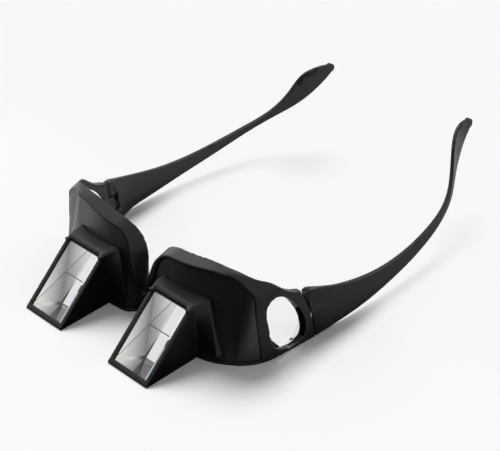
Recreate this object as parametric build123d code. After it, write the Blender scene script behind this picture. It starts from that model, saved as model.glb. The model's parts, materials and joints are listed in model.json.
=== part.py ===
from build123d import *
import os
from math import atan, cos

# Prism bed glasses, standing as they are put down: upside down, on the flat walls of the two
# prism housings and the lower edge of the front. Millimetres. +Z is up, the windows face -Y,
# the temples run to +Y, and +X is the wearer's right, because the glasses are upside down.
# While the pieces are made, x = 0 is the middle of the nose bridge, y = 0 lies near the back
# of the housings' flat walls, and z = 0 is the surface that the glasses stand on.

# Eyes and prisms
pupil_spacing = 66.0
prism_width = 23.8
prism_front = -26.7
prism_back = 1.1
prism_foot = 1.9
prism_top = 24.6
prism_bevel = 0.3
window_bevel = 0.9
fit_gap = 0.1
surface_gap = 0.05

# Prism housings
housing_wall = 2.5
housing_width = prism_width + 2 * housing_wall
housing_front = -28.6
housing_nose_height = 0.7
housing_top = 26.4
housing_crest = 2.9
tube_foot = 1.6
tube_top = 25.6
tube_end = 7.8
collar_start = 2.6
collar_foot = 4.0
collar_flare_top = 2.2
collar_flare_foot = 12.3
shelf_lip = 2.6
shelf_lip_share = 0.4
shelf_flare = 1.8
shelf_back_rise = 3.8
shelf_back_dip = 0.6
shelf_run = 9.5
retainer_border = 2.0
retainer_thickness = 1.6

# Plan of the front, where it meets the surface that it stands on
bridge_half_width = 1.3
bridge_front = 5.2
bridge_back = 9.6
bridge_height = 8.0
nose_turn_x = 6.3
nose_turn_y = 0.6
nose_radius = 7.0
bridge_radius = 2.5
front_bow = 1.4
front_round_share = 2.4
wrap_start_x = 56.0
wrap_start_y = 0.9
wrap_start_radius = 40.0
wrap_end_x = 74.6
wrap_end_y = 13.8
wrap_end_radius = 22.0
hinge_x = 77.25
hinge_y = 45.5
ring_depth = 6.0
hood_turn_x = 17.0
hood_turn_y = 6.2
arm_thickness = 4.4
lean_nose_share = 0.36
lean_back_share = 0.40
corner_lean_share = 0.20
lean_in_share = -0.04
wrap_start_easing_share = 0.5
wrap_end_easing_share = 0.25

# Front outline of the rings
nose_top_x = 10.4
nose_top_z = 36.1
nose_top_radius = 15.5
peak_x = 48.0
peak_z = 39.5
peak_radius = 60.0
outer_top_x = 68.0
outer_top_z = 39.7
outer_top_radius = 18.5
outer_foot_x = 76.8
bridge_corner_radius = 3.2
side_flare_share = 0.22
nose_flare_share = 0.45
nose_top_easing_share = 0.6
top_flare_share = 0.20
ring_reach_front = 5.0
hood_reach = 11.0
ring_reach_back = 52.0

# Lens panels
panel_thickness = 2.0
panel_recess = 0.9
panel_rim = 1.9
panel_seat = 0.9
panel_foot = 1.2
panel_nose_x = 11.1
panel_nose_radius = 10.1
panel_bend_z = 22.5
panel_bend_radius = 14.0
panel_outer_x = 73.3
panel_outer_slope_share = 0.115
panel_outer_radius = 9.5
panel_end_y = 17.0
panel_end_lean_share = 0.11

# Fall of the arms' top edge towards the hinges
fall_start_y = 25.0
fall_start_z = 40.6
fall_start_radius = 24.0
fall_end_y = 37.5
fall_end_z = 26.9
fall_end_radius = 20.0
arm_end_y = 52.0
arm_end_z = 22.3

# Side windows
window_front = 22.5
window_rear = 41.9
window_top = 28.6
window_foot = 1.5
window_taper = 2.2
window_shares = [
    (0.0, 0.39),
    (0.02, 0.67),
    (0.11, 0.92),
    (0.30, 1.0),
    (0.61, 0.92),
    (0.84, 0.70),
    (0.97, 0.46),
    (0.99, 0.25),
    (0.90, 0.08),
    (0.62, 0.0),
    (0.28, 0.03),
    (0.08, 0.12),
    (0.01, 0.24),
]
side_lens_recess = 3.0
side_lens_thickness = 1.3
side_lens_flange = 0.5

# Hinges
pin_x = 74.2
pin_y = 45.0
pin_radius = 0.6
pin_play = 0.05
pin_foot = 1.4
pin_top = 23.7
knuckle_radius = 1.5
hinge_depth = 1.75
knuckle_foot = 8.0
knuckle_top = 16.4
knuckle_reach = 1.6
hinge_gap = 0.35
slot_reach = 4.3
seam_shares = [(-2.2, 1.04), (-1.2, 0.907), (-0.47, 0.73), (0.13, 0.494), (0.27, 0.233), (0.33, -0.04)]

# Temples
temple_foot = 0.5
temple_top = 24.3
temple_length = 136.2
ear_height = 42.0
temple_inset = 24.0
temple_root_thickness = 4.5
temple_blade_thickness = 2.4
temple_tip_thickness = 2.2
temple_plan_shares = [
    (-0.03, -0.018, "root"),
    (0.006, -0.035, "root"),
    (0.075, -0.115, "blade"),
    (0.19, -0.16, "blade"),
    (0.36, -0.13, "blade"),
    (0.54, -0.015, "blade"),
    (0.66, 0.13, "blade"),
    (0.76, 0.365, "blade"),
    (0.84, 0.65, "tip"),
    (0.91, 0.85, "tip"),
    (1.02, 0.975, "tip"),
]
temple_top_shares = [
    (0.10, 0.485),
    (0.26, 0.352),
    (0.45, 0.322),
    (0.63, 0.39),
    (0.755, 0.525),
    (0.83, 0.77),
    (0.88, 0.955),
    (0.93, 0.998),
    (0.975, 0.985),
]
temple_foot_shares = [
    (0.985, 0.885),
    (0.94, 0.78),
    (0.83, 0.55),
    (0.67, 0.345),
    (0.49, 0.20),
    (0.30, 0.105),
    (0.14, 0.045),
]
temple_tip_share = 0.945

overrun = 60.0
high_cut = peak_z + overrun / 5


def rounded_face(plane, points, radii):
    """A flat face in the plane, through the points, with a radius at each corner."""
    outline = FilletPolyline(*points, radius=radii, close=True)
    return plane * make_face(outline)


def box_between(low, high):
    """A box from its lowest to its highest corner."""
    size = Vector(*high) - Vector(*low)
    middle = (Vector(*high) + Vector(*low)) * 0.5
    return Pos(middle) * Box(size.X, size.Y, size.Z)


def along_x(points, radii, start, end):
    """A side outline of y and z, from one x to another."""
    face = rounded_face(Plane.YZ, points, radii)
    return extrude(Pos(start, 0, 0) * face, amount=end - start, dir=(1, 0, 0))


def along_y(points, radii, start, end):
    """A front outline of x and z, from one y to another."""
    face = rounded_face(Plane.XZ, points, radii)
    return extrude(Pos(0, start, 0) * face, amount=end - start, dir=(0, 1, 0))


def plan_points(points, drifts, height):
    """Plan corners carried up to a height: each moves by its own drift for each millimetre."""
    return [(x + dx * height, y + dy * height) for (x, y), (dx, dy) in zip(points, drifts)]


def outer_plan(height, inset):
    """Everything behind the front's outer surface at a height, or behind a surface set in from it."""
    slope = (hinge_x - wrap_end_x) / (hinge_y - wrap_end_y)
    far_y = overrun + overrun
    far_x = hinge_x + slope * (far_y - hinge_y)
    points = [
        (-overrun, bridge_front),
        (bridge_half_width, bridge_front),
        (nose_turn_x, nose_turn_y),
        (pupil_spacing / 2, -front_bow),
        (wrap_start_x, wrap_start_y),
        (wrap_end_x, wrap_end_y),
        (far_x, far_y),
        (-overrun, far_y),
    ]
    nose = (0, lean_nose_share)
    middle = (0, (lean_nose_share + lean_back_share) / 2)
    side = (lean_in_share, 0)
    corner = (lean_in_share, corner_lean_share)
    drifts = [nose, nose, nose, middle, (0, lean_back_share), corner, side, (0, 0)]
    radii = [
        0,
        bridge_radius,
        nose_radius,
        front_round_share * (wrap_start_x - nose_turn_x),
        wrap_start_radius + wrap_start_easing_share * height,
        wrap_end_radius - wrap_end_easing_share * height,
        0,
        0,
    ]
    face = rounded_face(Plane.XY.offset(height), plan_points(points, drifts, height), radii)
    if inset:
        face = offset(face, amount=-inset)
    return face


def inner_plan(height):
    """Everything behind the front's inner surface at a height."""
    slope = (hinge_x - wrap_end_x) / (hinge_y - wrap_end_y)
    far_y = overrun + overrun
    far_x = hinge_x - arm_thickness + slope * (far_y - hinge_y)
    points = [
        (-overrun, bridge_back),
        (bridge_half_width + ring_depth / 2, bridge_back),
        (hood_turn_x, hood_turn_y),
        (pupil_spacing / 2, ring_depth - front_bow),
        (wrap_start_x - ring_depth / 3, wrap_start_y + ring_depth),
        (wrap_end_x - arm_thickness, wrap_end_y + arm_thickness),
        (far_x, far_y),
        (-overrun, far_y),
    ]
    nose = (0, lean_nose_share)
    middle = (0, (lean_nose_share + lean_back_share) / 2)
    side = (lean_in_share, 0)
    corner = (lean_in_share, corner_lean_share)
    drifts = [nose, nose, nose, middle, (0, lean_back_share), corner, side, (0, 0)]
    radii = [
        0,
        nose_radius,
        nose_radius,
        front_round_share * (wrap_start_x - nose_turn_x),
        wrap_end_radius,
        wrap_end_radius - arm_thickness - wrap_end_easing_share * height,
        0,
        0,
    ]
    return rounded_face(Plane.XY.offset(height), plan_points(points, drifts, height), radii)


def behind_front(inset):
    """The space behind the front's outer surface, or behind a surface set in from it."""
    return loft([outer_plan(-pin_foot, inset), outer_plan(high_cut, inset)], ruled=True)


def behind_back():
    """The space behind the front's inner surface."""
    return loft([inner_plan(-pin_top), inner_plan(high_cut + pin_foot)], ruled=True)


def ring_section(depth):
    """The rings' outline at a depth behind the front's leaning plane: they widen to the back."""
    tilt = atan(lean_back_share)
    facing = (0, -cos(tilt), lean_back_share * cos(tilt))
    plane = Plane(origin=(0, depth, 0), x_dir=(1, 0, 0), z_dir=facing)
    hood = min(depth, hood_reach)
    nose = nose_flare_share * hood
    side = side_flare_share * depth
    top = top_flare_share * depth
    points = [
        (-overrun, 0),
        (-overrun, bridge_height),
        (bridge_half_width, bridge_height),
        (nose_top_x - nose, nose_top_z + top),
        (peak_x, peak_z + top),
        (outer_top_x + side, outer_top_z + top),
        (outer_foot_x + side, 0),
    ]
    eased = nose_top_radius + nose_top_easing_share * hood
    rounds = [bridge_corner_radius, eased, peak_radius, outer_top_radius]
    radii = [0, 0, *rounds, 0]
    return rounded_face(plane, [(x, z / cos(tilt)) for x, z in points], radii)


def fallen_top():
    """Everything above the top edge of the arms, which falls from the rings to the hinges."""
    points = [
        (-overrun, fall_start_z),
        (fall_start_y, fall_start_z),
        (fall_end_y, fall_end_z),
        (arm_end_y, arm_end_z),
        (overrun + overrun, arm_end_z),
        (overrun + overrun, overrun + overrun),
        (-overrun, overrun + overrun),
    ]
    radii = [0, fall_start_radius, fall_end_radius, 0, 0, 0, 0]
    return along_x(points, radii, -overrun, overrun + overrun)


def panel_prism(inset):
    """The space straight behind a lens panel's front outline, or behind one set in from it."""
    top_slope = (peak_z - nose_top_z) / (peak_x - nose_top_x)
    nose_slope = (panel_nose_x - panel_rim - bridge_half_width) / (panel_bend_z - bridge_height)
    corner_z = peak_z - panel_rim - inset
    foot_x = panel_outer_x - inset
    corner_x = foot_x - panel_outer_slope_share * corner_z
    nose_x = panel_nose_x + inset
    nose_z = corner_z - top_slope * (peak_x - nose_x)
    points = [
        (nose_x - nose_slope * (panel_bend_z - bridge_height), bridge_height),
        (nose_x, panel_bend_z),
        (nose_x, nose_z),
        (peak_x, corner_z),
        (corner_x, corner_z),
        (foot_x, panel_foot),
        (nose_x - nose_slope * (panel_bend_z - bridge_height), panel_foot),
    ]
    radii = [
        bridge_corner_radius,
        panel_bend_radius,
        panel_nose_radius - inset,
        peak_radius,
        panel_outer_radius - inset,
        0,
        0,
    ]
    end = [
        (-overrun, -overrun),
        (-overrun, overrun),
        (panel_end_y - inset + panel_end_lean_share * overrun, overrun),
        (panel_end_y - inset - panel_end_lean_share * overrun, -overrun),
    ]
    return along_y(points, radii, -overrun, overrun) & along_x(end, 0, 0, 2 * overrun)


# Hinges

def seam_line(setback):
    """The curved joint between arm and temple on the outer side, as points of y and z."""
    return [
        (pin_y + across * knuckle_radius + setback, up * temple_top)
        for across, up in seam_shares
    ]


def behind_seam(setback):
    """Everything behind the curved joint, from inside the knuckles outwards."""
    line = seam_line(setback)
    edge = Spline(*[(0, y, z) for y, z in line])
    far = [(0, 2 * overrun, line[-1][1]), (0, 2 * overrun, line[0][1])]
    wire = Wire([edge, Line((0, *line[-1]), far[0]), Line(far[0], far[1]), Line(far[1], (0, *line[0]))])
    return extrude(Pos(pin_x, 0, 0) * Face(wire), amount=overrun, dir=(1, 0, 0))


def hinge_column(radius, foot, top):
    """A cylinder round the hinge's axis, from one height to another."""
    return Pos(pin_x, pin_y, (foot + top) / 2) * Cylinder(radius, top - foot)


def temple_knuckle_room():
    """The space that the temple's two knuckles need round the pin, above and below the middle one."""
    room = hinge_column(knuckle_radius + hinge_gap, -overrun, overrun)
    room += box_between((0, pin_y - hinge_depth - hinge_gap, -overrun), (pin_x, 2 * overrun, overrun))
    room += behind_seam(0)
    return room - box_between((0, -overrun, knuckle_foot), (2 * overrun, 3 * overrun, knuckle_top))


def hinge_flat(end_y):
    """What lies too far inside the pin to fold, from in front of the knuckles to a place behind them."""
    start = (0, pin_y - hinge_depth - hinge_gap, -overrun)
    return box_between(start, (pin_x - hinge_depth, end_y, overrun))


def arm_end():
    """What is cut from the arm at the hinge, so that only the middle knuckle reaches past the pin."""
    rest = behind_seam(0) - hinge_column(knuckle_radius, -overrun, overrun)
    rest += box_between((0, pin_y + knuckle_reach, -overrun), (pin_x, 2 * overrun, overrun))
    return rest + temple_knuckle_room() + hinge_flat(2 * overrun)


# The front

def half_front():
    """The wearer's right half of the front: ring, arm and half the bridge, before its openings."""
    body = behind_front(0) - behind_back()
    sections = [ring_section(depth) for depth in (-ring_reach_front, hood_reach, ring_reach_back)]
    body &= loft(sections, ruled=True)
    body -= fallen_top()
    return body & box_between((0, -overrun, 0), (2 * overrun, 2 * overrun, 2 * overrun))


def window_face(depth, inset):
    """A side window's outline at a depth in the arm, or one set in from it: its rear edge slants."""
    lean = (hinge_x - wrap_end_x) / (hinge_y - wrap_end_y)
    slant = window_taper * depth / arm_thickness
    wide = window_rear - window_front - slant - 2 * inset
    tall = window_top - window_foot - 2 * inset
    points = []
    for across, up in window_shares:
        y = window_front + inset + across * wide
        z = window_foot + inset + up * tall
        points.append((hinge_x - depth + lean * (y - hinge_y) + lean_in_share * z, y, z))
    return Face(Wire([Spline(*points, periodic=True)]))


def window_hole():
    """A side window's opening, from outside the arm to inside it."""
    return loft([window_face(-arm_thickness, 0), window_face(2 * arm_thickness, 0)], ruled=True)


def lens_pocket(inset, thickness):
    """The space of a side window's insert in the arm's inner half, or one set in from it."""
    face = window_face(side_lens_recess + inset, inset - side_lens_flange)
    return extrude(face, amount=thickness, dir=(-1, 0, 0))


def front_frame():
    """The moulded front with both rings, the bridge and the arms."""
    body = half_front()
    room = behind_front(panel_recess + panel_thickness + surface_gap)
    body -= panel_prism(0) - room
    body -= panel_prism(panel_seat)
    body -= window_hole()
    body -= lens_pocket(0, 2 * arm_thickness)
    body -= arm_end()
    body -= hinge_column(pin_radius, -overrun, overrun)
    return body + mirror(body, about=Plane.YZ)


def lens_panel():
    """The flat matte panel of one ring, with the hole that its prism housing passes through."""
    plate = behind_front(panel_recess) - behind_front(panel_recess + panel_thickness)
    plate &= panel_prism(fit_gap)
    half = housing_width / 2 + fit_gap
    hole = box_between(
        (pupil_spacing / 2 - half, -overrun, -overrun),
        (pupil_spacing / 2 + half, overrun, tube_top + fit_gap),
    )
    return plate - hole


def side_lens():
    """The clear insert of one side window."""
    return lens_pocket(fit_gap, side_lens_thickness)


# Prisms and their housings

def prism_profile():
    """The prism's right-angled section in y and z."""
    corners = [(prism_front, prism_foot), (prism_back, prism_foot), (prism_back, prism_top)]
    return make_face(Polyline(*corners, close=True))


def across(profile, width):
    """A side profile of y and z as a bar of a width, centred on the eye."""
    start = (pupil_spacing - width) / 2
    return extrude(Plane.YZ.offset(start) * profile, amount=width, dir=(1, 0, 0))


def prism():
    """One glass prism: slanted window face, silvered foot and upright face towards the eye."""
    glass = across(prism_profile(), prism_width)
    directions = {edge: edge.tangent_at(0) for edge in glass.edges()}
    glass = chamfer([edge for edge, way in directions.items() if way.Y and way.Z], window_bevel)
    long_edges = glass.edges().filter_by(Axis.X)
    return chamfer(long_edges, prism_bevel)


def shelf_section(y, middle_z, side_z):
    """The space above one cross line of the shelf, which sags in its middle."""
    eye = pupil_spacing / 2
    left = (eye - housing_width, side_z)
    right = (eye + housing_width, side_z)
    top_left = (eye - housing_width, overrun)
    top_right = (eye + housing_width, overrun)
    floor = ThreePointArc(left, (eye, middle_z), right)
    edges = [floor, Line(right, top_right), Line(top_right, top_left), Line(top_left, left)]
    return Plane.XZ.offset(-y) * make_face(edges)


def above_shelf():
    """The scooped space above the shelf: almost straight in front and sagging towards the panel."""
    front = shelf_section(housing_crest, housing_top, housing_top + surface_gap)
    back = shelf_section(
        housing_crest + 2 * shelf_run,
        housing_top - 2 * shelf_back_dip,
        housing_top + 2 * shelf_back_rise,
    )
    return loft([front, back], ruled=True)


def prism_housing():
    """The wedge-shaped box of one prism, with its shelf, collar and tube."""
    eye = pupil_spacing / 2
    half = housing_width / 2
    deep = housing_crest + 2 * shelf_run
    profile = [
        (housing_front, 0),
        (housing_front, housing_nose_height),
        (housing_crest, housing_top),
        (deep, housing_top + 2 * shelf_back_rise),
        (deep, 0),
    ]
    body = across(make_face(Polyline(*profile, close=True)), housing_width)

    def collar_section(height, flare, back_y):
        """The collar's plan at a height: it spreads towards the panel."""
        corners = [
            (eye - half, collar_start),
            (eye + half, collar_start),
            (eye + half + flare, back_y),
            (eye + half + flare, deep),
            (eye - half - flare, deep),
            (eye - half - flare, back_y),
        ]
        return Plane.XY.offset(height) * make_face(Polyline(*corners, close=True))

    body += loft(
        [
            collar_section(collar_foot, collar_flare_foot, collar_start + surface_gap),
            collar_section(housing_top, collar_flare_top, collar_start + shelf_run - shelf_lip / 2),
        ],
        ruled=True,
    )
    shelf = [
        (eye - half, housing_crest),
        (eye + half, housing_crest),
        (eye + half + shelf_flare, deep),
        (eye - half - shelf_flare, deep),
    ]
    slab = Plane.XY.offset(housing_top - shelf_lip) * make_face(Polyline(*shelf, close=True))
    slab = extrude(slab, amount=shelf_lip + 2 * shelf_back_rise)
    lip = [
        (housing_crest, housing_top - shelf_lip),
        (deep, housing_top - shelf_lip),
        (deep, housing_top + 2 * shelf_back_rise),
        (housing_crest, housing_top + 2 * shelf_back_rise),
    ]
    body += slab & along_x(lip, [shelf_lip_share * shelf_lip, 0, 0, 0], 0, 2 * overrun)
    above = [
        (housing_front, housing_nose_height),
        (housing_crest, housing_top),
        (housing_crest, overrun),
        (housing_front, overrun),
    ]
    body -= across(make_face(Polyline(*above, close=True)), housing_width + overrun)
    body -= above_shelf()
    body -= behind_front(panel_recess - surface_gap)
    foot_cut = box_between((-overrun, -overrun, -overrun), (2 * overrun, overrun, tube_foot + fit_gap))
    body -= foot_cut & behind_front(-surface_gap)
    tube = box_between((eye - half, 0, tube_foot), (eye + half, deep, tube_top))
    ends = box_between((0, tube_end, 0), (2 * overrun, 2 * overrun, overrun))
    tube -= ends & behind_front(panel_recess + panel_thickness + fit_gap)
    body += tube
    slope = (prism_top - prism_foot) / (prism_back - prism_front)
    wide = prism_width + 2 * fit_gap
    glass_room = [
        (prism_front, prism_foot - fit_gap),
        (prism_back, prism_foot - fit_gap),
        (prism_back, prism_top + fit_gap),
        (prism_front, prism_foot + fit_gap),
    ]
    body -= across(make_face(Polyline(*glass_room, close=True)), wide)
    window_z = prism_foot + slope * (housing_crest - prism_front)
    window_room = [
        (prism_front, prism_foot),
        (housing_crest, window_z),
        (housing_crest, overrun),
        (prism_front, overrun),
    ]
    body -= across(make_face(Polyline(*window_room, close=True)), wide)
    passage = [
        (prism_back - prism_bevel, tube_foot - overrun),
        (2 * overrun, tube_foot - overrun),
        (2 * overrun, prism_top + fit_gap),
        (prism_back - prism_bevel, prism_top + fit_gap),
    ]
    body -= across(make_face(Polyline(*passage, close=True)), wide)
    return body


def upright_bar(start, end, foot, top, width):
    """A bar across the eye, between two places in y and two heights."""
    profile = Polyline((start, foot), (end, foot), (end, top), (start, top), close=True)
    return across(make_face(profile), width)


def prism_retainer():
    """The thin frame behind one prism, which closes its housing's tube."""
    start = prism_back + fit_gap
    plate = upright_bar(start, start + retainer_thickness, tube_foot, prism_top, prism_width)
    low = tube_foot + retainer_border
    high = prism_top - retainer_border
    return plate - upright_bar(0, overrun, low, high, prism_width - 2 * retainer_border)


# Temples

def temple_plan():
    """The temple's plan at z = 0, as a curved strip that thins from hinge to tip."""
    outer = []
    inner = []
    for along, sideways, thickness in temple_plan_points():
        outer.append((pin_x + sideways + thickness / 2, pin_y + along))
        inner.append((pin_x + sideways - thickness / 2, pin_y + along))
    return outer, inner


def temple_plan_points():
    """Stations along the temple: distance behind the pin, place across, and thickness."""
    thicknesses = {
        "root": temple_root_thickness,
        "blade": temple_blade_thickness,
        "tip": temple_tip_thickness,
    }
    return [
        (along * temple_length, -sideways * temple_inset, thicknesses[kind])
        for along, sideways, kind in temple_plan_shares
    ]


def temple_side():
    """The temple's side outline of y and z: top edge, rounded tip and lower edge."""
    top = [(pin_y + along * temple_length, up * ear_height) for along, up in temple_top_shares]
    foot = [(pin_y + along * temple_length, up * ear_height) for along, up in temple_foot_shares]
    tip = (pin_y + temple_length, temple_tip_share * ear_height)
    start_top = (pin_y - 2 * hinge_depth, temple_top)
    start_foot = (pin_y - 2 * hinge_depth, temple_foot)
    flat_end = (pin_y + hinge_depth, temple_top)
    flat_start = (pin_y + hinge_depth, temple_foot)
    edges = [
        Line(start_top, flat_end),
        Spline(flat_end, *top),
        ThreePointArc(top[-1], tip, foot[0]),
        Spline(*foot, flat_start),
        Line(flat_start, start_foot),
        Line(start_foot, start_top),
    ]
    return extrude(Plane.YZ * make_face(edges), amount=2 * overrun, dir=(1, 0, 0))


def temple():
    """One temple with its two knuckles and its ear tip."""
    outer, inner = temple_plan()
    ends = [Line(outer[-1], inner[-1]), Line(inner[0], outer[0])]
    edges = [Spline(*outer), ends[0], Spline(*reversed(inner)), ends[1]]
    slope = Vector(lean_in_share, 0, 1)
    face = Pos(slope * -pin_foot) * make_face(edges)
    body = extrude(face, amount=(high_cut + pin_foot) * slope.length, dir=slope)
    body &= temple_side()
    body -= box_between((0, -overrun, -overrun), (2 * overrun, pin_y, 2 * overrun))
    body -= hinge_flat(pin_y + slot_reach)
    upper = (pin_x + hinge_gap, -overrun, knuckle_top + hinge_gap)
    skin = behind_front(0) & box_between(upper, (2 * overrun, pin_y, temple_top))
    body += skin & behind_seam(hinge_gap)
    inner = (pin_x + knuckle_radius, -overrun, -overrun)
    outside = box_between(inner, (2 * overrun, 3 * overrun, 2 * overrun))
    body -= outside - behind_seam(hinge_gap)
    body += hinge_column(knuckle_radius, temple_foot, temple_top)
    swing = (hinge_depth ** 2 + knuckle_reach ** 2) ** 0.5 + hinge_gap
    column_end = (pin_x + knuckle_radius + hinge_gap, 3 * overrun, overrun)
    socket = hinge_column(swing, -overrun, overrun) & box_between((0, -overrun, -overrun), column_end)
    socket += box_between((0, -overrun, -overrun), (pin_x, pin_y + slot_reach, overrun))
    socket += box_between((0, -overrun, -overrun), (2 * overrun, pin_y, overrun))
    slot_foot = (0, -overrun, knuckle_foot - hinge_gap)
    body -= socket & box_between(slot_foot, (2 * overrun, 3 * overrun, knuckle_top + hinge_gap))
    body -= hinge_column(pin_radius + pin_play, pin_foot - hinge_gap, overrun)
    return body


def hinge_pin():
    """The steel pin of one hinge."""
    return hinge_column(pin_radius, pin_foot, pin_top)


def build():
    """Every piece by its node's name, moved so that the origin is under the middle of the whole."""
    halves = {
        "lens_panel": lens_panel(),
        "prism_housing": prism_housing(),
        "prism": prism(),
        "prism_retainer": prism_retainer(),
        "side_lens": side_lens(),
        "temple": temple(),
        "hinge_pin": hinge_pin(),
    }
    pieces = {"front_frame": front_frame()}
    for name, piece in halves.items():
        pieces["right_" + name] = piece
        pieces["left_" + name] = mirror(piece, about=Plane.YZ)
    boxes = [piece.bounding_box() for piece in pieces.values()]
    front = min(box.min.Y for box in boxes)
    rear = max(box.max.Y for box in boxes)
    shift = Pos(0, -(front + rear) / 2, 0)
    print("moved by", -(front + rear) / 2)
    return {name: shift * piece for name, piece in pieces.items()}


os.makedirs("parts", exist_ok=True)
for name, piece in build().items():
    export_step(piece, "parts/" + name + ".step")
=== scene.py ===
import json
import math

import bmesh
import bpy
from mathutils import Matrix, Vector


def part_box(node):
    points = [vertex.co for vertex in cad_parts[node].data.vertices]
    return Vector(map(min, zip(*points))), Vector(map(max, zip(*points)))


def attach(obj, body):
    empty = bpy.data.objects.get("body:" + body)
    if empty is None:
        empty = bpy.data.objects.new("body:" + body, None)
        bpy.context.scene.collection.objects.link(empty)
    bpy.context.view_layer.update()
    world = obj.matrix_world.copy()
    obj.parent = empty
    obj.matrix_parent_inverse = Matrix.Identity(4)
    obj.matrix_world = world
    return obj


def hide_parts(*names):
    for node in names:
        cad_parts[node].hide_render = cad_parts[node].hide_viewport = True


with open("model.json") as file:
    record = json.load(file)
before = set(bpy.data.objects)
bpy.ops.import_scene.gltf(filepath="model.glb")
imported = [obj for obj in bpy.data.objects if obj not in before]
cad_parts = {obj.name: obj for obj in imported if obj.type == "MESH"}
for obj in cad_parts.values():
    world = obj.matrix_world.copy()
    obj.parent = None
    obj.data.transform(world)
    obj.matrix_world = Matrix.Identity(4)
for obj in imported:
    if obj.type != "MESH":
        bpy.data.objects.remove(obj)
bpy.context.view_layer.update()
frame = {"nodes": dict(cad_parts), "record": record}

MM = 0.001
SIDES = ("right", "left")

# The camera, placed from the flat of the right prism housing that the glasses stand on.
HOUSING_FLAT = Vector(frame["record"]["mounts"][0]["pos_m"])
CAMERA_FROM_FLAT = Vector((496.4, -301.1, 430.1)) * MM
CAMERA_AZIMUTH = 53.6
CAMERA_ELEVATION = 32.4
CAMERA_ROLL = 8.4
LENS = 115.2
SENSOR = 36.0
CLIP_NEAR = 0.01
CLIP_FAR = 100.0

# The studio's walls, from dark ahead of the windows to lit beside them. A bearing is a share:
# -1 is straight ahead of the windows and 1 is straight behind.
DARK_BEARING = -0.76
LIT_BEARING = -0.50
WALL_LIGHT = 0.42
LEAST_LIGHT = 0.02

# Its ceiling, which starts and is full at these shares of straight up, and its side window.
CEILING_LIGHT = 0.26
CEILING_START = 0.05
CEILING_FULL = 0.55
SIDE_WINDOW = (-0.95, 0.05, 0.28)
SIDE_WINDOW_EDGE = 0.80
SIDE_WINDOW_CORE = 0.98
SIDE_WINDOW_LIGHT = 1.2

# How much of the studio's light falls on matte surfaces, and the lamp that adds to it.
MATTE_LIGHT_SHARE = 0.55
LAMP_FROM = (-0.40, 0.48, 0.79)
LAMP_STRENGTH = 2.75
LAMP_SPREAD = 26.0
BACKGROUND = (0.93, 0.93, 0.93)
WHITE = (1.0, 1.0, 1.0)
BLACK = (0.0, 0.0, 0.0)

# The floor. The shadow that it keeps fades between two distances behind the front frame.
FLOOR_REACH = 6.0
FLOOR_COLOUR = (0.93, 0.925, 0.935)
NEAR_SHADOW_SHARE = 0.97
FAR_SHADOW_SHARE = 0.30
SHADOW_FADE = (10 * MM, 45 * MM)

# How bright the floor looks in the glasses' gloss, as painted shade and light in its colour: at its
# darkest, what is added out of the studio's dark part ahead, and the share that is left of both towards
# the right.
FLOOR_LEAST = 0.05
FLOOR_RISE = 0.85
RIGHT_FLOOR_SHARE = 0.60
RIGHT_FLOOR_BEARING = 0.7
TINY_DISTANCE = 0.0001

# Black plastics: colour, specular level, roughness, and the size and depth of the moulded grain.
FRONT_PLASTIC = ((0.0052, 0.0053, 0.0045), 0.42, 0.36, 0.28 * MM, 0.010 * MM)
PANEL_PLASTIC = ((0.0034, 0.0032, 0.0036), 0.95, 0.33, 0.22 * MM, 0.006 * MM)
TEMPLE_PLASTIC = ((0.0060, 0.0058, 0.0060), 0.42, 0.38, 0.28 * MM, 0.010 * MM)
CLOUD_SIZE = 14 * MM
CLOUD_LIFT = 1.35
CLOUD_SPREAD = 0.08
SPECKLE_SPREAD = 0.10
SPECKLE_HARSHNESS = 0.6
COARSE_GRAIN_TIMES = 3
COARSE_GRAIN_SHARE = 0.4
GRAIN_STRENGTH = 0.5
EDGE_RADIUS = 0.45 * MM
EDGE_SAMPLES = 6

# The prisms' glass, and the painted light on their ground sides, an emission that stands in for how
# bright they look through it.
GLASS_INDEX = 1.65
# The glass's tint at its foot and at its top. The darker top is painted shade of the shelf above.
GLASS_TINT_AND_TOP_SHADE = ((0.99, 0.985, 0.975), (0.95, 0.96, 0.965))
GLASS_ROUGHNESS = 0.002
SMUDGE_SIZE = 6 * MM
SMUDGE_SPREAD = 0.004
GROUND_TINTS = ((0.28, 0.285, 0.28), (0.34, 0.345, 0.335))
GROUND_GRAIN = 0.25 * MM
GROUND_HAZE = 5 * MM
GROUND_ROUGHNESS = 0.75
GROUND_SPREAD = 0.2
PAINTED_LIGHT_AT_NOSE = (0.80, 0.80, 0.77)
PAINTED_LIGHT_AT_BACK = (0.09, 0.095, 0.095)

# Their ground edges and bevels. The near bevel has a painted reflection, bright with a painted dark
# break; the far one has painted light low down.
EDGE_TINTS = ((0.10, 0.105, 0.10), (0.16, 0.165, 0.16))
EDGE_GRAIN = 0.3 * MM
EDGE_ROUGHNESS = 0.7
# Painted light on the far bevel low down, fading out between two heights.
FAR_BEVEL_PAINTED_LIGHT = (0.62, 0.62, 0.60)
FAR_BEVEL_FADE = (14 * MM, 22 * MM)
BEVEL_COLOUR = (0.30, 0.30, 0.30)
BEVEL_ROUGHNESS = 0.6
BEVEL_PAINTED_LIGHT_TOP = (0.95, 0.95, 0.94)
BEVEL_PAINTED_DARK_BREAK = (0.02, 0.02, 0.02)
BEVEL_PAINTED_LIGHT_FOOT = (0.46, 0.53, 0.60)
BEVEL_PAINTED_LIGHT_STRENGTH = 0.85
BEVEL_BREAK_TOP = 15.0 * MM
BEVEL_BREAK_FOOT = 12.2 * MM
BEVEL_BREAK_FADE = 0.5 * MM

# Plain finishes: the noise's size and detail, two tints, the roughness and how far it drifts.
SILVERING = (8 * MM, 3.0, ((0.86, 0.87, 0.86), (0.92, 0.92, 0.91)), 0.02, 0.02)
# The insert's rim: painted shade, the dark of the pocket that holds it.
INSERT_RIM_SHADE = (4 * MM, 3.0, ((0.045, 0.045, 0.045), (0.075, 0.075, 0.074)), 0.25, 0.1)
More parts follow.
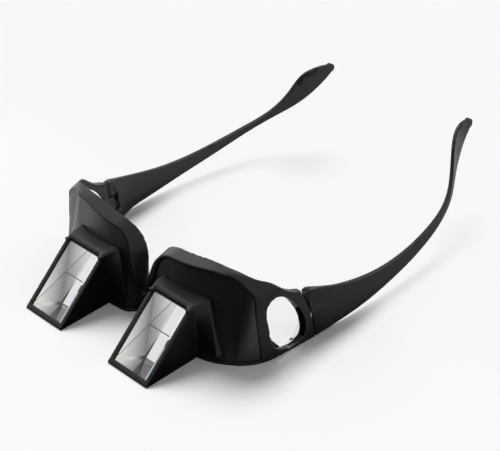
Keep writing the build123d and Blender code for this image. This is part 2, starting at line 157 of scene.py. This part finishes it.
# The seam's near-black is painted shade inside the hinge's seams.
SEAM_SHADOW = (2 * MM, 2.0, ((0.0004, 0.0004, 0.0004), (0.0008, 0.0008, 0.0008)), 0.9, 0.1)
SEAM_SHEEN = 0.02

# The clear window inserts and the steel of the hinge pins.
CLEAR_COLOUR = (0.97, 0.975, 0.975)
CLEAR_INDEX = 1.49
CLEAR_ROUGHNESS = 0.02
RIPPLE_SIZE = 9 * MM
RIPPLE_SPREAD = 0.02
RIPPLE_STRENGTH = 0.1
RIPPLE_DEPTH = 0.05 * MM
STEEL_COLOUR = (0.30, 0.30, 0.30)
STEEL_ROUGHNESS = 0.35
STEEL_SPREAD = 0.2
STEEL_GRAIN = 0.1 * MM
STEEL_DRAWN = (1.0, 1.0, 0.05)

# The meshes: how near two corners count as one, and the cells and passes that round an edge.
WELD_DISTANCE = 0.001 * MM
SHARP_ANGLE = 30.0
SMOOTH_FACTOR = 0.5
FRONT_CELL = 0.365 * MM
HOUSING_CELL = 0.3 * MM
ROUNDING_PASSES = 3

# Where each ring's upper outer corner melts into its arm, with the distance back from the front.
FRONT_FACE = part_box("front_frame")[0].y
CORNER_ASIDE = (52 * MM, 62 * MM)
CORNER_UP = (22 * MM, 30 * MM)
CORNER_BACK = (34 * MM, 42 * MM)
CORNER_PASSES = 30

# The hinge's place, and the faces round it that lie inside its seams.
HINGE_PLACE = (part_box("right_hinge_pin")[0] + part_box("right_hinge_pin")[1]) / 2
SEAM_REACH = 6.0 * MM
SEAM_FACING_SHARE = 0.55
SEAM_FOOT = 1.2 * MM
SEAM_TOP = 23.2 * MM

# The shelf above each window, measured from the housing's foremost point.
SHELF_FROM_NOSE = 31.5 * MM
SHELF_TOP = 26.4 * MM
SHELF_END_REACH = 2.6 * MM
SHELF_END_PASSES = 50

# How straight a face has to look along a direction to count as facing it, or roughly so.
FACING = 0.99
ROUGHLY_FACING = 0.5
INSERT_FACING = 0.9
EDGE_FACING = 0.1
FLAT_ANGLE = 1.0


# Shader maths

class Socket:
    """One socket of a shader tree, so that arithmetic on it adds the nodes."""

    def __init__(self, tree, socket):
        self.tree = tree
        self.socket = socket

    def _math(self, operation, *values):
        return self.tree.node("ShaderNodeMath", {"operation": operation}, *values)

    def __add__(self, other):
        return self._math("ADD", self, other)

    def __mul__(self, other):
        return self._math("MULTIPLY", self, other)

    def __sub__(self, other):
        return self._math("SUBTRACT", self, other)

    def __rsub__(self, other):
        return self._math("SUBTRACT", other, self)

    def __truediv__(self, other):
        return self._math("DIVIDE", self, other)

    __radd__ = __add__
    __rmul__ = __mul__

    def root(self):
        return self._math("POWER", self, 0.5)


class ShaderTree:
    """A material's or world's node tree, cleared, with one method that adds any node."""

    def __init__(self, owner):
        owner.use_nodes = True
        self.nodes = owner.node_tree.nodes
        self.links = owner.node_tree.links
        self.nodes.clear()

    def node(self, kind, settings=None, *values, output=0, **named):
        """Adds a node, sets it up, feeds its inputs in order or by name, and returns an output."""
        made = self.nodes.new(kind)
        for name, value in (settings or {}).items():
            setattr(made, name, value)
        for index, value in enumerate(values):
            self._feed(made.inputs[index], value)
        for name, value in named.items():
            self._feed(made.inputs[name.replace("_", " ")], value)
        return Socket(self, made.outputs[output]) if made.outputs else made

    def _feed(self, socket, value):
        if isinstance(value, Socket):
            self.links.new(value.socket, socket)
        elif socket.type == "RGBA":
            socket.default_value = (*value, 1.0)
        else:
            socket.default_value = value

    def coordinates(self, kind="Object"):
        return self.node("ShaderNodeTexCoord", output=kind)

    def split(self, vector):
        """The three parts of a vector."""
        first = self.node("ShaderNodeSeparateXYZ", None, vector)
        return [Socket(self, part) for part in first.socket.node.outputs]

    def rays(self, kind):
        """One for rays of a kind, nought for all others."""
        return self.node("ShaderNodeLightPath", output="Is " + kind + " Ray")

    def noise(self, size, detail=3.0, roughness=0.5, place=None):
        return self.node(
            "ShaderNodeTexNoise", {"noise_dimensions": "3D"},
            Vector=place or self.coordinates(), Scale=1 / size, Detail=detail, Roughness=roughness,
        )

    def change(self, value, start, end, low=0.0, high=1.0, kind="SMOOTHSTEP"):
        """Goes from low to high while a value goes from start to end."""
        return self.node("ShaderNodeMapRange", {"interpolation_type": kind}, value, start, end, low, high)

    def change_along(self, axis, start, end, kind="SMOOTHSTEP"):
        """Nought at one place along an axis and one at another."""
        place = self.split(self.coordinates())["XYZ".index(axis)]
        return self.change(place, start, end, kind=kind)

    def mix(self, factor, a, b):
        """Mixes two colours."""
        made = self.nodes.new("ShaderNodeMix")
        made.data_type = "RGBA"
        for index, value in ((0, factor), (6, a), (7, b)):
            self._feed(made.inputs[index], value)
        return Socket(self, made.outputs[2])

    def bump(self, height, strength, distance):
        """A fine relief, on a surface whose edges look as rounded as a mould leaves them."""
        edges = self.node("ShaderNodeBevel", {"samples": EDGE_SAMPLES}, Radius=EDGE_RADIUS)
        return self.node(
            "ShaderNodeBump", None, Strength=strength, Distance=distance, Height=height, Normal=edges,
        )

    def surface(self, shader):
        self.node("ShaderNodeOutputMaterial", None, Surface=shader)

    def principled(self, **inputs):
        self.surface(self.node("ShaderNodeBsdfPrincipled", None, **inputs))


def around(middle, noise, spread):
    """A value that a noise moves a little to both sides."""
    return (noise - 0.5) * spread + middle


def new_material(name):
    material = bpy.data.materials.new(name)
    return material, ShaderTree(material)


def moulded_black(name, base, sheen, roughness, grain_size, grain_depth):
    """Black moulded plastic: a fine spark-eroded grain, with faint cloudy changes of tone and gloss."""
    material, tree = new_material(name)
    cloud = tree.noise(CLOUD_SIZE, detail=4.0)
    speckle = tree.noise(grain_size, detail=2.0, roughness=SPECKLE_HARSHNESS)
    coarse = tree.noise(COARSE_GRAIN_TIMES * grain_size, detail=1.0)
    height = speckle + coarse * COARSE_GRAIN_SHARE
    tree.principled(
        Base_Color=tree.mix(cloud, base, tuple(channel * CLOUD_LIFT for channel in base)),
        Roughness=around(around(roughness, speckle, SPECKLE_SPREAD), cloud, CLOUD_SPREAD),
        Normal=tree.bump(height, GRAIN_STRENGTH, grain_depth),
        Specular_IOR_Level=sheen,
    )
    return material


def plain_finish(name, size, detail, tints, roughness, spread, **inputs):
    """A surface whose colour and gloss drift a little with one noise."""
    material, tree = new_material(name)
    drift = tree.noise(size, detail=detail)
    tree.principled(
        Base_Color=tree.mix(drift, *tints), Roughness=around(roughness, drift, spread), **inputs,
    )
    return material


def polished_glass():
    """Clear optical glass with a trace of green, darker towards its top: painted shade of the shelf
    above.
    """
    material, tree = new_material("prism_glass")
    low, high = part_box("right_prism")
    tree.principled(
        Base_Color=tree.mix(tree.change_along("Z", low.z, high.z), *GLASS_TINT_AND_TOP_SHADE),
        Roughness=around(GLASS_ROUGHNESS, tree.noise(SMUDGE_SIZE), SMUDGE_SPREAD),
        IOR=GLASS_INDEX, Transmission_Weight=1.0,
    )
    return material


def ground_glass():
    """The sawn and ground sides of the prism, with painted light: an emission, bright at the nose and
    faint at the back, that stands in for the light that the glass gathers.
    """
    material, tree = new_material("ground_glass")
    low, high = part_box("right_prism")
    # Painted light: the emission's share from the nose to the back.
    glow = tree.change_along("Y", low.y, high.y, "LINEAR")
    tree.principled(
        Base_Color=tree.mix(tree.noise(GROUND_HAZE, detail=2.0), *GROUND_TINTS),
        Roughness=around(GROUND_ROUGHNESS, tree.noise(GROUND_GRAIN), GROUND_SPREAD),
        Emission_Color=tree.mix(glow, PAINTED_LIGHT_AT_NOSE, PAINTED_LIGHT_AT_BACK), Emission_Strength=1.0,
    )
    return material


def edge_glass(name, painted_foot_light):
    """The fine ground edges of the prism, dark through the glass; the far bevel's gets painted light low
    down, an emission that stands in for light through the glass.
    """
    material, tree = new_material(name)
    grain = tree.noise(EDGE_GRAIN, detail=2.0)
    tree.principled(
        Base_Color=tree.mix(grain, *EDGE_TINTS), Roughness=around(EDGE_ROUGHNESS, grain, GROUND_SPREAD),
        Emission_Color=tree.mix(tree.change_along("Z", *FAR_BEVEL_FADE), painted_foot_light, BLACK),
        Emission_Strength=1.0,
    )
    return material


def bevel_glass():
    """The narrow ground bevel beside the window, with a painted reflection: an emission that is bright
    above, has a painted dark break part way down, and is pale blue below.
    """
    material, tree = new_material("bevel_glass")
    upper = tree.change_along("Z", BEVEL_BREAK_TOP - BEVEL_BREAK_FADE, BEVEL_BREAK_TOP)
    lower = tree.change_along("Z", BEVEL_BREAK_FOOT, BEVEL_BREAK_FOOT + BEVEL_BREAK_FADE)
    painted_low_light = tree.mix(lower, BEVEL_PAINTED_LIGHT_FOOT, BEVEL_PAINTED_DARK_BREAK)
    grain = tree.noise(EDGE_GRAIN, detail=2.0)
    tree.principled(
        Base_Color=BEVEL_COLOUR, Roughness=around(BEVEL_ROUGHNESS, grain, GROUND_SPREAD),
        Emission_Color=tree.mix(upper, painted_low_light, BEVEL_PAINTED_LIGHT_TOP), Emission_Strength=BEVEL_PAINTED_LIGHT_STRENGTH,
    )
    return material


def clear_plastic():
    """The clear moulded insert of a side window."""
    material, tree = new_material("clear_insert")
    ripple = tree.noise(RIPPLE_SIZE, detail=1.0)
    tree.principled(
        Base_Color=CLEAR_COLOUR, Roughness=around(CLEAR_ROUGHNESS, ripple, RIPPLE_SPREAD),
        IOR=CLEAR_INDEX, Transmission_Weight=1.0,
        Normal=tree.bump(ripple, RIPPLE_STRENGTH, RIPPLE_DEPTH),
    )
    return material


def drawn_steel():
    """The wire of the hinge pins."""
    material, tree = new_material("drawn_steel")
    place = tree.node("ShaderNodeMapping", None, Vector=tree.coordinates(), Scale=STEEL_DRAWN)
    scratches = tree.noise(STEEL_GRAIN, detail=2.0, place=place)
    tree.principled(
        Base_Color=STEEL_COLOUR, Metallic=1.0,
        Roughness=around(STEEL_ROUGHNESS, scratches, STEEL_SPREAD),
    )
    return material


# Pieces

def smooth_copy(node, sharp_angle=SHARP_ANGLE):
    """A merged copy of a CAD node's mesh, smooth across its curved faces and sharp at its edges."""
    mesh = frame["nodes"][node].data.copy()
    piece = bpy.data.objects.new(node + "_finished", mesh)
    bpy.context.scene.collection.objects.link(piece)
    weld(mesh)
    for polygon in mesh.polygons:
        polygon.use_smooth = True
    mesh.set_sharp_from_angle(angle=math.radians(sharp_angle))
    return piece


def weld(mesh):
    """Joins the corners that loose triangles share."""
    work = bmesh.new()
    work.from_mesh(mesh)
    bmesh.ops.remove_doubles(work, verts=work.verts, dist=WELD_DISTANCE)
    work.to_mesh(mesh)
    work.free()
    mesh.update()


def rounded_copy(node, cell, melt):
    """A copy of a CAD node with every edge slightly rounded, as a mould leaves it."""
    piece = smooth_copy(node)
    remesh = piece.modifiers.new("even skin", "REMESH")
    remesh.mode = "VOXEL"
    remesh.voxel_size = cell
    remesh.use_smooth_shade = True
    add_smoothing(piece, "soft edges", ROUNDING_PASSES)
    bake_modifiers(piece)
    melt(piece)
    bake_modifiers(piece)
    for polygon in piece.data.polygons:
        polygon.use_smooth = True
    return piece


def add_smoothing(piece, name, passes):
    soften = piece.modifiers.new(name, "SMOOTH")
    soften.factor = SMOOTH_FACTOR
    soften.iterations = passes
    return soften


def bake_modifiers(piece):
    """Turns a piece with modifiers into the plain mesh that they make."""
    graph = bpy.context.evaluated_depsgraph_get()
    rounded = bpy.data.meshes.new_from_object(piece.evaluated_get(graph))
    piece.modifiers.clear()
    piece.data = rounded


def melt_where(piece, name, weigh, passes):
    """Smooths a piece by the weight that a function gives to each place on it."""
    group = piece.vertex_groups.new(name=name)
    for vertex in piece.data.vertices:
        weight = weigh(vertex.co)
        if weight > 0.0:
            group.add([vertex.index], weight, "REPLACE")
    add_smoothing(piece, "melted " + name, passes).vertex_group = name


def ramp(value, start, end):
    """Nought before the start and one past the end, with a soft change between."""
    share = min(max((value - start) / (end - start), 0.0), 1.0)
    return share * share * (3.0 - 2.0 * share)


def blend_corners(piece):
    """Melts each ring's upper outer corner into its arm, as the mould does."""
    def weigh(place):
        aside = ramp(abs(place.x), *CORNER_ASIDE) * ramp(place.z, *CORNER_UP)
        return aside * (1.0 - ramp(place.y - FRONT_FACE, *CORNER_BACK))

    melt_where(piece, "corners", weigh, CORNER_PASSES)


def melt_shelf_ends(piece):
    """Rounds the ends of a housing's shelf, where it meets the tops of the side walls."""
    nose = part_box(piece.name.replace("_finished", ""))[0].y
    crest = nose + SHELF_FROM_NOSE

    def weigh(place):
        near = 1.0 - ramp(abs(place.y - crest), SHELF_END_REACH / 2, SHELF_END_REACH)
        return near * ramp(place.z, SHELF_TOP - 2 * SHELF_END_REACH, SHELF_TOP - SHELF_END_REACH)

    melt_where(piece, "ends", weigh, SHELF_END_PASSES)


def darken_seam(piece, material):
    """Gives the faces between arm and temple, near the hinge's axis, a near-black material: painted shade
    of a deep seam.
    """
    piece.data.materials.append(material)
    for polygon in piece.data.polygons:
        place = polygon.center
        beside = abs(abs(place.x) - HINGE_PLACE.x) < SEAM_REACH
        near = beside and abs(place.y - HINGE_PLACE.y) < SEAM_REACH
        if near and abs(polygon.normal.x) < SEAM_FACING_SHARE and SEAM_FOOT < place.z < SEAM_TOP:
            polygon.material_index = 1


def dress(piece, node, material):
    """Gives a finished piece its material and its body, and hides the CAD node that it stands for."""
    piece.data.materials.clear()
    piece.data.materials.append(material)
    bodies = frame["record"]["behaviour"]["bodies"]
    body = next(name for name, nodes in bodies.items() if node in nodes)
    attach(piece, body)
    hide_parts(node)


def plain_piece(node, material):
    dress(smooth_copy(node), node, material)


def prism_finish(normal, window_normal):
    """The index of the finish on a face of a prism: glass, ground, silver, bevel, edge, far bevel."""
    if normal.z < -FACING:
        return 2
    if normal.y > FACING or normal.dot(window_normal) > FACING:
        return 0
    if normal.x > ROUGHLY_FACING and normal.dot(window_normal) > ROUGHLY_FACING:
        return 3
    if abs(normal.x) < EDGE_FACING:
        return 4
    if normal.dot(window_normal) > ROUGHLY_FACING:
        return 5
    return 1


def prism_piece(node, finishes):
    """One prism: polished window and back, ground sides and bevels, silvered foot."""
    piece = smooth_copy(node, FLAT_ANGLE)
    dress(piece, node, finishes[0])
    for finish in finishes[1:]:
        piece.data.materials.append(finish)
    faces = piece.data.polygons
    slanted = [
        face for face in faces
        if face.normal.y < -ROUGHLY_FACING and face.normal.z > ROUGHLY_FACING
    ]
    window_normal = max(slanted, key=lambda face: face.area).normal.copy()
    for face in faces:
        face.use_smooth = False
        face.material_index = prism_finish(face.normal, window_normal)


def window_insert(node, clear, rim):
    """One clear side insert, whose rim faces get an opaque dark grey: painted shade of the pocket that
    holds it.
    """
    piece = smooth_copy(node)
    dress(piece, node, clear)
    piece.data.materials.append(rim)
    for polygon in piece.data.polygons:
        polygon.material_index = 0 if abs(polygon.normal.x) > INSERT_FACING else 1


def build_glasses():
    front = moulded_black("moulded_front", *FRONT_PLASTIC)
    panel = moulded_black("matte_panel", *PANEL_PLASTIC)
    temple = moulded_black("moulded_temple", *TEMPLE_PLASTIC)
    finishes = (
        polished_glass(),
        ground_glass(),
        plain_finish("silvering", *SILVERING, Metallic=1.0),
        bevel_glass(),
        edge_glass("ground_edge", BLACK),
        edge_glass("ground_bevel_painted_light", FAR_BEVEL_PAINTED_LIGHT),
    )
    clear = clear_plastic()
    rim = plain_finish("insert_rim_shade", *INSERT_RIM_SHADE)
    steel = drawn_steel()
    seam = plain_finish("seam_shadow", *SEAM_SHADOW, Specular_IOR_Level=SEAM_SHEEN)
    frame_piece = rounded_copy("front_frame", FRONT_CELL, blend_corners)
    dress(frame_piece, "front_frame", front)
    darken_seam(frame_piece, seam)
    for side in SIDES:
        housing = side + "_prism_housing"
        dress(rounded_copy(housing, HOUSING_CELL, melt_shelf_ends), housing, front)
        temple_piece = smooth_copy(side + "_temple")
        dress(temple_piece, side + "_temple", temple)
        darken_seam(temple_piece, seam)
        plain_piece(side + "_lens_panel", panel)
        plain_piece(side + "_prism_retainer", front)
        window_insert(side + "_side_lens", clear, rim)
        plain_piece(side + "_hinge_pin", steel)
        prism_piece(side + "_prism", finishes)


# Stage

def seen_directly(tree):
    """One for the camera and for what shows through glass, nought for other light."""
    camera = tree.rays("Camera")
    return tree.node("ShaderNodeMath", {"operation": "MAXIMUM"}, camera, tree.rays("Transmission"))


def bearing(x, y):
    """The share of a place's or direction's distance that lies along x."""
    return x / ((x * x + y * y).root() + TINY_DISTANCE)


def front_shade(tree, x, y):
    """How far a place or a direction lies out of the dark part of the studio, ahead of the windows."""
    return tree.change(bearing(y, x), DARK_BEARING, LIT_BEARING)


def build_floor():
    mesh = bpy.data.meshes.new("floor")
    signs = ((-1, -1), (1, -1), (1, 1), (-1, 1))
    corners = [(x * FLOOR_REACH, y * FLOOR_REACH, 0) for x, y in signs]
    mesh.from_pydata(corners, [], [(0, 1, 2, 3)])
    floor = bpy.data.objects.new("floor", mesh)
    bpy.context.scene.collection.objects.link(floor)
    material, tree = new_material("pale_floor")
    x, y, _ = tree.split(tree.coordinates())
    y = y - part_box("front_frame")[1].y
    # Painted shade and light: for all rays but the camera's, the floor's colour is dark ahead of the
    # windows and darker to the right, to set what the gloss reflects.
    rightness = tree.change(bearing(x, y), 0.0, RIGHT_FLOOR_BEARING, 1.0, RIGHT_FLOOR_SHARE)
    lit = (front_shade(tree, x, y) * FLOOR_RISE + FLOOR_LEAST) * rightness
    pale = tree.node("ShaderNodeBsdfDiffuse", None, Color=FLOOR_COLOUR)
    glow = tree.node("ShaderNodeEmission", None, Color=BACKGROUND, Strength=1.0)
    far = tree.change(y, *SHADOW_FADE, 1.0 - NEAR_SHADOW_SHARE, 1.0 - FAR_SHADOW_SHARE)
    shown = tree.node("ShaderNodeMixShader", None, far, pale, glow)
    grey = tree.node("ShaderNodeCombineColor", None, lit, lit, lit)
    unseen = tree.node("ShaderNodeBsdfDiffuse", None, Color=grey)
    tree.surface(tree.node("ShaderNodeMixShader", None, seen_directly(tree), unseen, shown))
    mesh.materials.append(material)


def build_world():
    """A studio that is lit overhead and behind, dark low down ahead, and one flat tone to the camera."""
    world = bpy.data.worlds.new("studio")
    bpy.context.scene.world = world
    tree = ShaderTree(world)
    x, y, z = tree.split(tree.coordinates("Generated"))
    walls = front_shade(tree, x, y)
    ceiling = tree.change(z, CEILING_START, CEILING_FULL)
    towards = x * SIDE_WINDOW[0] + y * SIDE_WINDOW[1] + z * SIDE_WINDOW[2]
    window = tree.change(towards, SIDE_WINDOW_EDGE, SIDE_WINDOW_CORE)
    level = walls * WALL_LIGHT + ceiling * CEILING_LIGHT + window * SIDE_WINDOW_LIGHT + LEAST_LIGHT
    level = level * (1.0 - tree.rays("Diffuse") * (1.0 - MATTE_LIGHT_SHARE))
    dome = tree.node("ShaderNodeBackground", None, Color=WHITE, Strength=level)
    seen = tree.node("ShaderNodeBackground", None, Color=BACKGROUND, Strength=1.0)
    mixed = tree.node("ShaderNodeMixShader", None, seen_directly(tree), dome, seen)
    tree.node("ShaderNodeOutputWorld", None, Surface=mixed)


def build_lights():
    """One broad lamp, high at the left and behind. It shows in no gloss."""
    data = bpy.data.lights.new("window light", "SUN")
    data.energy = LAMP_STRENGTH
    data.angle = math.radians(LAMP_SPREAD)
    lamp = bpy.data.objects.new("window light", data)
    bpy.context.scene.collection.objects.link(lamp)
    lamp.rotation_euler = (-Vector(LAMP_FROM)).to_track_quat("-Z", "Y").to_euler()
    lamp.visible_glossy = False


def build_camera():
    data = bpy.data.cameras.new("camera")
    data.lens = LENS
    data.sensor_width = SENSOR
    data.sensor_fit = "HORIZONTAL"
    data.clip_start = CLIP_NEAR
    data.clip_end = CLIP_FAR
    camera = bpy.data.objects.new("camera", data)
    bpy.context.scene.collection.objects.link(camera)
    azimuth = math.radians(CAMERA_AZIMUTH)
    elevation = math.radians(CAMERA_ELEVATION)
    level = Vector((math.sin(azimuth), -math.cos(azimuth), 0)) * math.cos(elevation)
    back = level + Vector((0, 0, math.sin(elevation)))
    right = Vector((0, 0, 1)).cross(back).normalized()
    up = back.cross(right)
    turn = Matrix.Rotation(math.radians(-CAMERA_ROLL), 3, back)
    axes = Matrix((turn @ right, turn @ up, back)).transposed()
    camera.matrix_world = Matrix.Translation(HOUSING_FLAT + CAMERA_FROM_FLAT) @ axes.to_4x4()
    bpy.context.scene.camera = camera


build_camera()
build_glasses()
build_floor()
build_world()
build_lights()
bpy.context.scene.view_settings.view_transform = "Standard"
